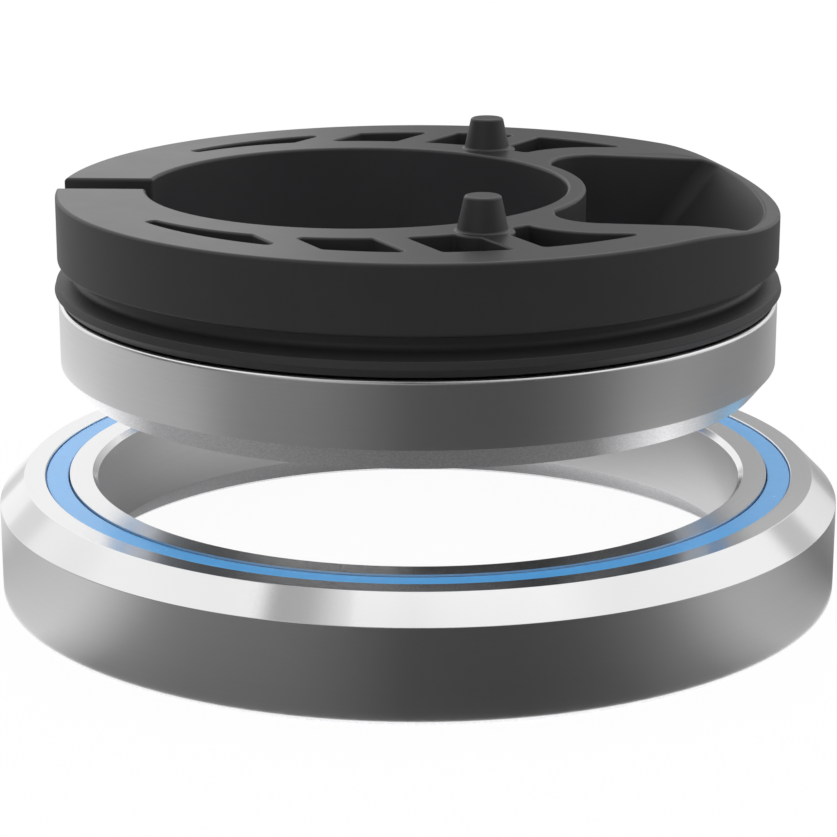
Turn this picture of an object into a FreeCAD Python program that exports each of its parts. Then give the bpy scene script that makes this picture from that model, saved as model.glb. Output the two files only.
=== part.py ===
import FreeCAD, Part
import math
import os

# Bicycle headset for a straight steerer with hoses led through the upper bearing.
# Millimetres. +Z points up the steerer, the bearings share the Z axis, and +X points
# forward, to the side of the hose opening. Z = 0 is the plane that the lower bearing
# stands on. The upper group stands above the lower bearing, as the two are laid out
# before the head tube joins them.

# Lower bearing, from its bore outwards. Its outer seat chamfer faces up.
lower_bore_diameter = 44.5
lower_inner_wall = 0.95
lower_ball_diameter = 3.969
lower_outer_wall = 1.781
lower_height = 8.0
lower_seat_chamfer = 1.7
lower_seat_angle = 45.0
lower_cone_chamfer = 1.85
lower_seal_width = 1.66
lower_seal_thickness = 0.85
lower_ball_count = 24
lower_cage_reach = 1.1

# Steerer, and the space in front of it that the hoses share with the ring's walls
steerer_diameter = 28.6
steerer_rear_wall = 0.3
hose_space = 8.6

# Upper bearing, from its bore outwards. Its bore takes the steerer and the hose space.
# Its outer seat chamfer faces down.
upper_bore_diameter = steerer_diameter + steerer_rear_wall + hose_space
upper_inner_wall = 1.24
upper_ball_diameter = 3.175
upper_outer_wall = 1.285
upper_height = 5.9
upper_seat_chamfer = 1.23
upper_seat_angle = 39.0
upper_cone_chamfer = 1.5
upper_seal_width = 1.5
upper_seal_thickness = 0.7
upper_ball_count = 22
upper_cage_reach = 0.9

# Free space between the two bearings
bearing_spacing = 6.5

# How far a cutting solid reaches past what it cuts, how near a point lies to a surface
# that it is on, and the largest angle between two faces that run on smoothly
cut_margin = 1.0
on_surface = 1e-4
smooth_angle = 3.0

# Fits and small features that both bearings share
race_clearance = 0.025
pocket_clearance = 0.05
cage_side_clearance = 0.15
cage_end_clearance = 0.25
seat_seal_offset = -0.2
cone_seal_offset = 0.5
seal_recess = 0.12
seal_lip_gap = 0.08
seal_wall_gap = 0.05
seal_groove_depth = 0.35
seal_bead_thickness = 0.45
seal_edge_round = 0.08
bore_edge_chamfer = 0.35
face_edge_round = 0.3

# Compression ring
flange_height = 4.57
flange_edge_round = 0.25
slit_width = 3.5
slit_corner_round = 0.27
hub_wiper_height = 2.2
hub_recess = 2.6
hub_bearing_gap = 0.4
nose_depth = 1.0

# Lightening pockets of the compression ring
pocket_depth = 3.4
pocket_collar_wall = 3.0
pocket_rim_wall = 3.35
pocket_rib_angle = 60.0
pocket_rib_width = 2.0
pocket_rib_pitch = 6.1
pocket_rib_count = 3
first_rib_offset = -15.65
pocket_end_angle = 36.7
pocket_corner_round = 0.3
pocket_edge_round = 0.18

# Hose opening of the compression ring
hose_half_width = 12.1
hose_corner_radius = 3.2
hose_flank_reach = 2.22
hose_collar_wall = 1.27
hose_side_wall = 3.2
hose_rim_wall = 1.1
hose_funnel_angle = 32.2
hose_waist_rise = 1.5
hose_throat_angle = 45.0
hose_funnel_round = 1.5
rim_dip_length = 5.64
rim_dip_angle = 13.05
rim_dip_blend = 13.8

# Locating pins of the compression ring
pin_angle = 59.3
pin_bore_wall = 1.08
pin_base_diameter = 3.3
pin_top_diameter = 2.33
pin_height = 2.22
pin_top_round = 0.2
pin_foot_round = 0.25

# Wiper seal, from the bearing face up
wiper_bearing_gap = 0.12
wiper_lip_overhang = 0.24
wiper_lip_edge = 0.5
wiper_lip_height = 1.05
wiper_lip_taper = 0.14
wiper_lip_round = 0.06
wiper_lip_foot = 0.45
wiper_neck_wall = 1.4
wiper_neck_round = 0.45


def rz(r, z):
    return FreeCAD.Vector(r, 0, z)


def outline(corners):
    """Closed outline in the r-z plane from (r, z) or (r, z, round) corners.
    A corner given as ("via", r, z) is the middle of an arc between its neighbours."""
    count = len(corners)
    ends = []
    for i, corner in enumerate(corners):
        if corner[0] == "via":
            ends.append((rz(corner[1], corner[2]), None))
            continue
        here = rz(corner[0], corner[1])
        if len(corner) == 2:
            ends.append((here, here))
            continue
        before = rz(*corners[i - 1][:2])
        after = rz(*corners[(i + 1) % count][:2])
        to_before = (before - here).normalize()
        to_after = (after - here).normalize()
        half = to_before.getAngle(to_after) / 2
        reach = corner[2] / math.tan(half)
        inward = (to_before + to_after).normalize()
        middle = here + inward * (corner[2] / math.sin(half) - corner[2])
        ends.append((here + to_before * reach, here + to_after * reach, middle))
    edges = []
    for i, end in enumerate(ends):
        if len(end) == 3:
            edges.append(Part.Arc(end[0], end[2], end[1]).toShape())
        if end[1] is None:
            continue
        following = ends[(i + 1) % count]
        if following[1] is None:
            last = ends[(i + 2) % count]
            edges.append(Part.Arc(end[1], following[0], last[0]).toShape())
        else:
            edges.append(Part.LineSegment(end[1], following[0]).toShape())
    return Part.Wire(edges)


def turned(corners):
    """Solid of revolution about Z from an outline in the r-z plane."""
    face = Part.Face(outline(corners))
    return face.revolve(FreeCAD.Vector(0, 0, 0), FreeCAD.Vector(0, 0, 1), 360)


def block(low, high):
    size = [high[i] - low[i] for i in range(3)]
    return Part.makeBox(size[0], size[1], size[2], FreeCAD.Vector(*low))


def disc(radius, low, high, x=0.0, y=0.0):
    return Part.makeCylinder(radius, high - low, FreeCAD.Vector(x, y, low))


def half_chord(radius, offset):
    return math.sqrt(radius ** 2 - offset ** 2)


def is_upright(edge):
    """True for a straight edge along Z."""
    box = edge.BoundBox
    return box.XLength < on_surface and box.YLength < on_surface


class Bearing:
    """Angular contact bearing. Heights run from the cone side, 0, to the seat side."""

    def __init__(self, bore, inner_wall, ball, outer_wall, height, base, seat_down):
        self.bore_radius = bore / 2
        self.ball_radius = ball / 2
        self.groove_radius = ball / 2 + race_clearance
        self.pitch_radius = self.bore_radius + inner_wall + self.groove_radius
        self.outer_radius = self.pitch_radius + self.groove_radius + outer_wall
        self.height = height
        self.middle = height / 2
        self.base = base
        self.seat_down = seat_down

    def level(self, height):
        """Height above the cone side as a Z coordinate."""
        if self.seat_down:
            return self.base + self.height - height
        return self.base + height

    def placed(self, corners):
        result = []
        for corner in corners:
            if corner[0] == "via":
                result.append(("via", corner[1], self.level(corner[2])))
            else:
                result.append((corner[0], self.level(corner[1])) + tuple(corner[2:]))
        return turned(result)

    def shoulders(self, seal_width, offset):
        """Inner and outer race radii on one side of the balls."""
        return (self.pitch_radius + offset - seal_width / 2,
                self.pitch_radius + offset + seal_width / 2)


def outer_race(bearing, seal_width, seal_thickness, chamfer, angle):
    cone_side = bearing.shoulders(seal_width, cone_seal_offset)[1]
    seat_side = bearing.shoulders(seal_width, seat_seal_offset)[1]
    middle = bearing.middle
    groove_low = middle - half_chord(bearing.groove_radius, cone_side - bearing.pitch_radius)
    groove_high = middle + half_chord(bearing.groove_radius, seat_side - bearing.pitch_radius)
    bead_low = seal_recess + (seal_thickness - seal_bead_thickness) / 2
    bead_high = bead_low + seal_bead_thickness
    top = bearing.height
    chamfer_height = chamfer / math.tan(math.radians(angle))
    return bearing.placed([
        (cone_side, 0), (bearing.outer_radius, 0, face_edge_round),
        (bearing.outer_radius, top - chamfer_height), (bearing.outer_radius - chamfer, top),
        (seat_side, top), (seat_side, top - bead_low),
        (seat_side + seal_groove_depth, top - bead_low),
        (seat_side + seal_groove_depth, top - bead_high), (seat_side, top - bead_high),
        (seat_side, groove_high), ("via", bearing.pitch_radius + bearing.groove_radius, middle),
        (cone_side, groove_low), (cone_side, bead_high),
        (cone_side + seal_groove_depth, bead_high),
        (cone_side + seal_groove_depth, bead_low), (cone_side, bead_low)])


def inner_race(bearing, seal_width, chamfer):
    cone_side = bearing.shoulders(seal_width, cone_seal_offset)[0]
    seat_side = bearing.shoulders(seal_width, seat_seal_offset)[0]
    middle = bearing.middle
    groove_low = middle - half_chord(bearing.groove_radius, cone_side - bearing.pitch_radius)
    groove_high = middle + half_chord(bearing.groove_radius, seat_side - bearing.pitch_radius)
    top = bearing.height
    bore = bearing.bore_radius
    return bearing.placed([
        (bore + chamfer, 0), (cone_side, 0), (cone_side, groove_low),
        ("via", bearing.pitch_radius - bearing.groove_radius, middle),
        (seat_side, groove_high), (seat_side, top), (bore + bore_edge_chamfer, top),
        (bore, top - bore_edge_chamfer), (bore, chamfer)])


def bearing_seal(bearing, seal_width, thickness, offset, from_seat):
    """Moulded disc with a bead in the outer race's groove and a lip at the inner race."""
    inner, outer = bearing.shoulders(seal_width, offset)
    inner = inner + seal_lip_gap
    wall = outer - seal_wall_gap
    bead = outer + seal_groove_depth
    bead_low = seal_recess + (thickness - seal_bead_thickness) / 2
    bead_high = bead_low + seal_bead_thickness
    face = seal_recess
    back = seal_recess + thickness

    def depth(value):
        return bearing.height - value if from_seat else value

    return bearing.placed([
        (inner, depth(face), seal_edge_round), (wall, depth(face), seal_edge_round),
        (wall, depth(bead_low)), (bead, depth(bead_low)), (bead, depth(bead_high)),
        (wall, depth(bead_high)), (wall, depth(back)), (inner, depth(back))])


def ball_centres(bearing, count):
    z = bearing.level(bearing.middle)
    for i in range(count):
        angle = 2 * math.pi * i / count
        x = bearing.pitch_radius * math.cos(angle)
        y = bearing.pitch_radius * math.sin(angle)
        yield FreeCAD.Vector(x, y, z)


def ball_cage(bearing, seal_width, seal_thickness, count, reach):
    """Crown cage: a ring behind the balls with pockets that open to the cone side."""
    inner, outer = bearing.shoulders(seal_width, seat_seal_offset)
    inner = inner + cage_side_clearance
    outer = outer - cage_side_clearance
    back = bearing.height - seal_recess - seal_thickness - cage_end_clearance
    tips = bearing.middle - reach
    cage = bearing.placed([(inner, tips), (outer, tips), (outer, back), (inner, back)])
    pocket_radius = bearing.ball_radius + pocket_clearance
    pockets = [Part.makeSphere(pocket_radius, centre) for centre in ball_centres(bearing, count)]
    return cage.cut(pockets)


def hose_channel(x0, half_width, radius, low, high):
    """Rounded channel along +X that starts at x0, seen from above."""
    far = 2 * flange_radius
    channel = block((x0, -half_width, low), (far, half_width, high))
    corners = [edge for edge in channel.Edges
               if is_upright(edge) and abs(edge.BoundBox.XMax - x0) < on_surface]
    return channel.makeFillet(radius, corners)


def hose_opening():
    """Space for the hoses: a channel beside the steerer. Its outer wall is a funnel about
    the steerer's axis. Below a waist it narrows along with the nose."""
    low = nose_bottom - cut_margin
    high = flange_top + cut_margin
    channel = hose_channel(hose_start_x, hose_half_width, hose_corner_radius, low, high)
    collar = disc(steerer_radius + hose_collar_wall, low, high, steerer_x)
    slope = math.tan(math.radians(hose_funnel_angle))
    rim_radius = flange_radius - hose_rim_wall - steerer_x
    waist_z = hub_bottom + hose_waist_rise
    waist_radius = rim_radius - slope * (rim_end_z - waist_z)
    throat_radius = waist_radius - math.tan(math.radians(hose_throat_angle)) * (waist_z - low)
    funnel = turned([(0, low), (throat_radius, low), (waist_radius, waist_z),
                     (rim_radius + slope * (high - rim_end_z), high), (0, high)])
    funnel.translate(FreeCAD.Vector(steerer_x, 0, 0))
    opening = channel.common(funnel).cut(collar)
    creases = []
    for edge in opening.Edges:
        box = edge.BoundBox
        on_side = abs(abs(box.YMin) - hose_half_width) < on_surface and box.YLength < on_surface
        slanted = box.XLength > on_surface and box.ZLength > on_surface
        if on_side and slanted:
            creases.append(edge)
    return opening.makeFillet(hose_funnel_round, creases)


def is_smooth(solid, edge):
    """True where the two faces beside an edge meet without a corner."""
    middle = edge.valueAt((edge.FirstParameter + edge.LastParameter) / 2)
    normals = []
    for face in solid.ancestorsOfType(edge, Part.Face):
        u, v = face.Surface.parameter(middle)
        normals.append(face.normalAt(u, v))
    return normals[0].getAngle(normals[1]) < math.radians(smooth_angle)


def lightening_pockets():
    """Four pockets beside each flank of the steerer, split by slanted ribs."""
    low = flange_top - pocket_depth
    high = flange_top + cut_margin
    field = disc(flange_radius - pocket_rim_wall, low, high)
    field = field.cut(disc(steerer_radius + pocket_collar_wall, low, high, steerer_x))
    side_wall = hose_channel(hose_start_x - hose_side_wall, hose_half_width + hose_side_wall,
                             hose_corner_radius + hose_side_wall, low, high)
    field = field.cut(side_wall)
    reach = 2 * flange_radius
    beside = block((-reach, -reach, low), (reach, 0, high))
    field = field.common(beside)
    beside.rotate(FreeCAD.Vector(0, 0, 0), FreeCAD.Vector(0, 0, 1), pocket_end_angle)
    field = field.common(beside)
    angle = math.radians(pocket_rib_angle)
    across = FreeCAD.Vector(math.sin(angle), math.cos(angle), 0)
    for i in range(pocket_rib_count):
        offset = first_rib_offset + i * pocket_rib_pitch
        rib = Part.makeBox(pocket_rib_width, 2 * reach, high - low)
        rib.translate(FreeCAD.Vector(-pocket_rib_width / 2, -reach, low))
        rib.rotate(FreeCAD.Vector(0, 0, 0), FreeCAD.Vector(0, 0, 1), 90 - pocket_rib_angle)
        rib.translate(across * offset)
        field = field.cut(rib)
    field = field.cut(disc(pin_foot_radius, low, high, pin_x, -pin_y))
    floors = [face for face in field.Faces if face.BoundBox.ZMax < low + on_surface]
    pockets = []
    for floor in floors:
        core = floor.makeOffset2D(-pocket_corner_round)
        rounded = core.makeOffset2D(pocket_corner_round)
        pockets.append(rounded.extrude(FreeCAD.Vector(0, 0, high - low)))
    origin = FreeCAD.Vector(0, 0, 0)
    mirrored = [pocket.mirror(origin, FreeCAD.Vector(0, 1, 0)) for pocket in pockets]
    return pockets + mirrored


def rim_dip():
    """Space above the rim in front, where the top slopes down to let the hoses in."""
    angle = math.radians(rim_dip_angle)
    start = flange_radius - rim_dip_length
    reach = rim_dip_blend * math.tan(angle / 2)
    far = flange_radius + cut_margin
    first = FreeCAD.Vector(start - reach, 0, flange_top)
    last = FreeCAD.Vector(start + reach * math.cos(angle), 0, flange_top - reach * math.sin(angle))
    middle = FreeCAD.Vector(first.x + rim_dip_blend * math.sin(angle / 2), 0,
                            flange_top - rim_dip_blend * (1 - math.cos(angle / 2)))
    end = FreeCAD.Vector(far, 0, flange_top - (far - start) * math.tan(angle))
    above = FreeCAD.Vector(far, 0, flange_top + cut_margin)
    corner = FreeCAD.Vector(first.x, 0, flange_top + cut_margin)
    edges = [Part.Arc(first, middle, last).toShape(), Part.makeLine(last, end),
             Part.makeLine(end, above), Part.makeLine(above, corner),
             Part.makeLine(corner, first)]
    face = Part.Face(Part.Wire(edges))
    face.translate(FreeCAD.Vector(0, -far, 0))
    return face.extrude(FreeCAD.Vector(0, 2 * far, 0))


def on_cylinder(edge, radius, x=0.0):
    """True where both ends and the middle of an edge lie on an upright cylinder."""
    first = edge.FirstParameter
    last = edge.LastParameter
    for parameter in (first, (first + last) / 2, last):
        point = edge.valueAt(parameter)
        if abs(math.hypot(point.x - x, point.y) - radius) > on_surface:
            return False
    return True


def add_locating_pin(body, x, y):
    """Adds a tapered pin with a rounded top and a rounded foot."""
    base = pin_base_diameter / 2
    top = pin_top_diameter / 2
    pin = turned([(0, flange_top - pin_height), (base, flange_top - pin_height),
                  (base, flange_top), (top, flange_top + pin_height, pin_top_round),
                  (0, flange_top + pin_height)])
    pin.translate(FreeCAD.Vector(x, y, 0))
    body = body.fuse(pin)
    centre = FreeCAD.Vector(x, y, flange_top)
    foot = [edge for edge in body.Edges
            if edge.CenterOfMass.distanceToPoint(centre) < on_surface
            and abs(edge.Length - 2 * math.pi * base) < on_surface]
    return body.makeFillet(pin_foot_round, foot)


def sharp_top_edges(body):
    """Edges where the top of the flange meets a wall at a corner."""
    found = []
    least_rise = math.cos(math.radians(rim_dip_angle + smooth_angle))
    middle_z = flange_bottom + flange_height / 2
    for face in body.Faces:
        u_low, u_high, v_low, v_high = face.ParameterRange
        facing = face.normalAt((u_low + u_high) / 2, (v_low + v_high) / 2).z
        if facing > least_rise and face.BoundBox.ZMin > middle_z:
            found += [edge for edge in face.Edges if not is_smooth(body, edge)]
    return found


def compression_ring():
    """Moulded split ring: flange, hub for the wiper and a cone for the inner race."""
    cone_start = upper.bore_radius + upper_cone_chamfer
    body = turned([
        (0, nose_bottom), (cone_start - nose_depth, nose_bottom),
        (cone_start + hub_bearing_gap, hub_bottom), (hub_radius, hub_bottom),
        (hub_radius, flange_bottom), (flange_radius, flange_bottom, flange_edge_round),
        (flange_radius, flange_top), (0, flange_top)])
    body = body.cut(rim_dip())
    low = nose_bottom - cut_margin
    high = flange_top + cut_margin
    bore = disc(steerer_radius, low, high, steerer_x)
    slit = block((-2 * flange_radius, -slit_width / 2, low), (steerer_x, slit_width / 2, high))
    body = body.cut(bore.fuse(slit))
    slit_corners = [edge for edge in body.Edges
                    if is_upright(edge) and on_cylinder(edge, steerer_radius, steerer_x)]
    body = body.makeFillet(slit_corner_round, slit_corners)
    body = body.cut(hose_opening())
    body = body.makeFillet(flange_edge_round, sharp_top_edges(body))
    body = body.cut(lightening_pockets())
    body = body.makeFillet(pocket_edge_round, sharp_top_edges(body))
    for side in (-1, 1):
        body = add_locating_pin(body, pin_x, side * pin_y)
    return body


def wiper_seal():
    """Rubber ring around the hub with a thin lip that wipes the head tube."""
    lip = flange_radius + wiper_lip_overhang
    bottom = upper_top + wiper_bearing_gap
    neck = hub_radius + wiper_neck_wall
    edge_top = bottom + wiper_lip_height
    edge_bottom = edge_top - wiper_lip_edge
    return turned([
        (hub_radius, bottom), (lip - wiper_lip_foot, bottom), (lip, edge_bottom, wiper_lip_round),
        (lip - wiper_lip_taper, edge_top, wiper_lip_round),
        (neck, edge_top + wiper_neck_round, wiper_neck_round),
        (neck, flange_bottom), (hub_radius, flange_bottom)])


lower = Bearing(lower_bore_diameter, lower_inner_wall, lower_ball_diameter,
                lower_outer_wall, lower_height, 0.0, False)
upper = Bearing(upper_bore_diameter, upper_inner_wall, upper_ball_diameter,
                upper_outer_wall, upper_height, lower_height + bearing_spacing, True)

upper_top = upper.base + upper.height
flange_radius = upper.outer_radius
hub_radius = flange_radius - hub_recess
hub_bottom = upper_top + hub_bearing_gap
flange_bottom = hub_bottom + hub_wiper_height
flange_top = flange_bottom + flange_height
nose_bottom = upper_top - nose_depth
steerer_radius = steerer_diameter / 2
steerer_x = steerer_radius + steerer_rear_wall - upper.bore_radius
pin_circle_radius = steerer_radius + pin_bore_wall + pin_base_diameter / 2
pin_x = steerer_x + pin_circle_radius * math.cos(math.radians(pin_angle))
pin_y = pin_circle_radius * math.sin(math.radians(pin_angle))
pin_foot_radius = pin_base_diameter / 2 + pin_foot_round + pocket_edge_round
hose_start_x = steerer_x + steerer_radius + hose_collar_wall - hose_flank_reach
rim_end_z = flange_top - (rim_dip_length - hose_rim_wall) * math.tan(math.radians(rim_dip_angle))

nodes = {
    "compression_ring": compression_ring(),
    "wiper_seal": wiper_seal(),
}
for name, bearing, seal_width, thickness, chamfer, angle, cone, count, reach in (
        ("upper", upper, upper_seal_width, upper_seal_thickness, upper_seat_chamfer,
         upper_seat_angle, upper_cone_chamfer, upper_ball_count, upper_cage_reach),
        ("lower", lower, lower_seal_width, lower_seal_thickness, lower_seat_chamfer,
         lower_seat_angle, lower_cone_chamfer, lower_ball_count, lower_cage_reach)):
    nodes[name + "_outer_race"] = outer_race(bearing, seal_width, thickness, chamfer, angle)
    nodes[name + "_inner_race"] = inner_race(bearing, seal_width, cone)
    nodes[name + "_seat_seal"] = bearing_seal(bearing, seal_width, thickness,
                                              seat_seal_offset, True)
    nodes[name + "_cone_seal"] = bearing_seal(bearing, seal_width, thickness,
                                              cone_seal_offset, False)
    nodes[name + "_ball_cage"] = ball_cage(bearing, seal_width, thickness, count, reach)
    for i, centre in enumerate(ball_centres(bearing, count)):
        ball = Part.makeSphere(bearing.ball_radius, centre)
        nodes["%s_ball_%02d" % (name, i + 1)] = ball

os.makedirs("parts", exist_ok=True)
for name, shape in nodes.items():
    solid = shape.Solids[0] if len(shape.Solids) == 1 else shape
    solid.exportStep("parts/%s.step" % name)
    print(name, len(shape.Solids), round(shape.Volume, 2), shape.isValid())
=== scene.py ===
import math

import bpy
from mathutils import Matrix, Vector
from mathutils.geometry import delaunay_2d_cdt


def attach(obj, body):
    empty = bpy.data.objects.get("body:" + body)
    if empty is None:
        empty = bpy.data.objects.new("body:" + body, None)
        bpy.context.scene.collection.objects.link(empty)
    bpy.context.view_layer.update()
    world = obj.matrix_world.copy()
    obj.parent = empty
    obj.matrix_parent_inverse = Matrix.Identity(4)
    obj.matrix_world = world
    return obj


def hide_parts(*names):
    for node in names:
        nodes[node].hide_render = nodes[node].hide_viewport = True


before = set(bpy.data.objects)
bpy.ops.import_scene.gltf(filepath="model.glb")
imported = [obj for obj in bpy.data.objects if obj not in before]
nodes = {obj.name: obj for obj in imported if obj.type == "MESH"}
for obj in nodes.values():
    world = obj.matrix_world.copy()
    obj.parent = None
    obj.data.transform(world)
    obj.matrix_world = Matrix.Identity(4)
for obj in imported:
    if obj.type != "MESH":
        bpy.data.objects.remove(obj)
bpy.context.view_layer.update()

# Bearing races: two angular contact bearings, each with an outer ring for the head tube and
# an inner ring for the steerer. Hardened steel, turned, ground on the walls and polished on
# the chamfers. The sizes of all pieces are in millimetres.
UPPER_BEARING = {"name": "upper", "bore": 18.75, "inner_wall": 1.24, "ball": 1.5875,
                 "outer_wall": 1.285, "height": 5.9, "base": 14.5, "seat_down": True,
                 "chamfer": 1.23, "chamfer_angle": 39.0, "cone": 1.5,
                 "seal_width": 1.5, "seal_thickness": 0.7}
LOWER_BEARING = {"name": "lower", "bore": 22.25, "inner_wall": 0.95, "ball": 1.9845,
                 "outer_wall": 1.781, "height": 8.0, "base": 0.0, "seat_down": False,
                 "chamfer": 1.7, "chamfer_angle": 45.0, "cone": 1.85,
                 "seal_width": 1.66, "seal_thickness": 0.85}
RACE_CLEARANCE = 0.025
SEAT_SEAL_OFFSET = -0.2
CONE_SEAL_OFFSET = 0.5
SEAL_RECESS = 0.12
SEAL_GROOVE_DEPTH = 0.35
SEAL_BEAD = 0.45
BORE_EDGE = 0.35
FACE_EDGE_ROUND = 0.3
BROKEN_EDGE = 0.07
TURNED_STEPS = 360


def put(name, data):
    """New object with the given data, in the scene."""
    thing = bpy.data.objects.new(name, data)
    bpy.context.scene.collection.objects.link(thing)
    return thing


class Skin:
    """Surface of one piece in millimetres. Each corner of a face has its own normal, and
    corners at one place share a vertex."""

    def __init__(self):
        self.places = []
        self.known = {}
        self.faces = []
        self.normals = []

    def spot(self, place):
        key = tuple(round(c, 3) for c in place)
        if key not in self.known:
            self.known[key] = len(self.places)
            self.places.append(place)
        return self.known[key]

    def face(self, corners):
        ring = []
        leans = []
        for place, lean in corners:
            spot = self.spot(place)
            if spot not in ring:
                ring.append(spot)
                leans.append(lean)
        if len(ring) > 2:
            self.faces.append(ring)
            self.normals.extend(leans)

    def strip(self, below, above, closed=False):
        """Quads between two rows of (place, normal) that run anticlockwise round the piece."""
        count = len(below)
        for i in range(count if closed else count - 1):
            j = (i + 1) % count
            self.face([below[i], below[j], above[j], above[i]])

    def strips(self, rows, closed=False):
        """Strips between the rows, bottom first on an outside and top first on an inside."""
        for below, above in zip(rows, rows[1:]):
            self.strip(below, above, closed)

    def piece(self, name, body, replaced, slot, material):
        mesh = bpy.data.meshes.new(name)
        mesh.from_pydata([[0.001 * c for c in place] for place in self.places], [], self.faces)
        mesh.shade_smooth()
        mesh.normals_split_custom_set(self.normals)
        mesh.materials.append(material)
        piece = put(name, mesh)
        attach(piece, body)
        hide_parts(replaced)


def spaced(first, last, steps):
    return [first + (last - first) * i / steps for i in range(steps + 1)]


def arc_between(centre, first, last, bulge, steps, way=0):
    """Points with normals on an arc from first to last: the short way, anticlockwise with
    way 1, or clockwise with -1. bulge 1 points the normals outwards."""
    start = math.atan2(first.y - centre.y, first.x - centre.x)
    sweep = math.atan2(last.y - centre.y, last.x - centre.x) - start
    if way:
        sweep = sweep * way % (2 * math.pi) * way
    else:
        sweep = (sweep + math.pi) % (2 * math.pi) - math.pi
    result = []
    for angle in spaced(start, start + sweep, steps):
        out = Vector((math.cos(angle), math.sin(angle)))
        result.append((centre + out * (first - centre).length, out * bulge))
    result[0] = (first, result[0][1])
    result[-1] = (last, result[-1][1])
    return result


def arc_through(first, middle, last, steps):
    """Points with normals on the arc through three points, for the groove that balls run in."""
    a = middle - first
    b = last - first
    span = 2 * a.cross(b)
    offset = Vector((b.y * a.length_squared - a.y * b.length_squared,
                     a.x * b.length_squared - b.x * a.length_squared)) / span
    bulge = 1 if span > 0 else -1
    return arc_between(first + offset, first, last, bulge, steps, bulge)


def stretches(corners, closed=True, steps=6):
    """Straight and round stretches of an anticlockwise outline of (r, z) or (r, z, round)
    corners, each a list of (point, normal). ("via", r, z) is the middle of an arc."""
    count = len(corners)
    ends = []
    for i, corner in enumerate(corners):
        if corner[0] == "via":
            ends.append(None)
            continue
        here = Vector(corner[:2])
        if len(corner) == 2:
            ends.append((here, here, []))
            continue
        to_before = (Vector(corners[i - 1][:2]) - here).normalized()
        to_after = (Vector(corners[(i + 1) % count][:2]) - here).normalized()
        half = to_before.angle(to_after) / 2
        first = here + to_before * (corner[2] / math.tan(half))
        last = here + to_after * (corner[2] / math.tan(half))
        centre = here + (to_before + to_after).normalized() * (corner[2] / math.sin(half))
        bulge = 1 if to_before.cross(to_after) < 0 else -1
        ends.append((first, last, arc_between(centre, first, last, bulge, steps)))
    result = []
    for i in range(count if closed else count - 1):
        if ends[i] is None:
            continue
        if ends[i][2]:
            result.append(ends[i][2])
        start = ends[i][1]
        following = ends[(i + 1) % count]
        if following is None:
            end = ends[(i + 2) % count][0]
            middle = Vector(corners[(i + 1) % count][1:])
            result.append(arc_through(start, middle, end, 4 * steps))
            continue
        way = following[0] - start
        if way.length > 1e-6:
            side = Vector((way.y, -way.x)).normalized()
            result.append([(start, side), (following[0], side)])
    return result


def anticlockwise(corners):
    """The outline's corners in anticlockwise order, with r to the right and z up."""
    plain = [Vector(corner[1:] if corner[0] == "via" else corner[:2]) for corner in corners]
    area = sum(plain[i - 1].cross(plain[i]) for i in range(len(plain)))
    return corners if area > 0 else corners[::-1]


def spun(stretch, angles, centre=(0.0, 0.0)):
    """A row of (place, normal) for each point of a stretch, turned about an upright line."""
    ways = [(math.cos(angle), math.sin(angle)) for angle in angles]
    return [[((centre[0] + point.x * c, centre[1] + point.x * s, point.y),
              (normal.x * c, normal.x * s, normal.y)) for c, s in ways]
            for point, normal in stretch]


def full_turn(steps):
    return spaced(0.0, 2 * math.pi, steps)[:-1]


def turned_skin(corners):
    """Surface of revolution about Z of a closed outline."""
    skin = Skin()
    for stretch in stretches(anticlockwise(corners)):
        skin.strips(spun(stretch, full_turn(TURNED_STEPS)), closed=True)
    return skin


def lifted(bearing, height):
    """Z of a height above the cone side of a bearing."""
    if bearing["seat_down"]:
        return bearing["base"] + bearing["height"] - height
    return bearing["base"] + height


def placed(bearing, corners):
    result = []
    for corner in corners:
        if corner[0] == "via":
            result.append(("via", corner[1], lifted(bearing, corner[2])))
        else:
            result.append((corner[0], lifted(bearing, corner[1])) + tuple(corner[2:]))
    return result


def pitch_radius(bearing):
    return bearing["bore"] + bearing["inner_wall"] + bearing["ball"] + RACE_CLEARANCE


def shoulders(bearing, offset):
    """Inner and outer race radii beside the seal on one side of the balls."""
    middle = pitch_radius(bearing) + offset
    return middle - bearing["seal_width"] / 2, middle + bearing["seal_width"] / 2


def groove_reach(bearing, shoulder):
    """How far above and below the balls' middle the groove ends at a shoulder."""
    groove = bearing["ball"] + RACE_CLEARANCE
    return math.sqrt(groove ** 2 - (shoulder - pitch_radius(bearing)) ** 2)


def outer_race(bearing):
    cone_side = shoulders(bearing, CONE_SEAL_OFFSET)[1]
    seat_side = shoulders(bearing, SEAT_SEAL_OFFSET)[1]
    groove = bearing["ball"] + RACE_CLEARANCE
    wall = pitch_radius(bearing) + groove + bearing["outer_wall"]
    top = bearing["height"]
    middle = top / 2
    slope = bearing["chamfer"] / math.tan(math.radians(bearing["chamfer_angle"]))
    bead_low = SEAL_RECESS + (bearing["seal_thickness"] - SEAL_BEAD) / 2
    bead_high = bead_low + SEAL_BEAD
    deep = SEAL_GROOVE_DEPTH
    return placed(bearing, [
        (cone_side, 0, BROKEN_EDGE), (wall, 0, FACE_EDGE_ROUND),
        (wall, top - slope, BROKEN_EDGE), (wall - bearing["chamfer"], top, BROKEN_EDGE),
        (seat_side, top, BROKEN_EDGE), (seat_side, top - bead_low),
        (seat_side + deep, top - bead_low), (seat_side + deep, top - bead_high),
        (seat_side, top - bead_high), (seat_side, middle + groove_reach(bearing, seat_side)),
        ("via", pitch_radius(bearing) + groove, middle),
        (cone_side, middle - groove_reach(bearing, cone_side)), (cone_side, bead_high),
        (cone_side + deep, bead_high), (cone_side + deep, bead_low), (cone_side, bead_low)])


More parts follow.
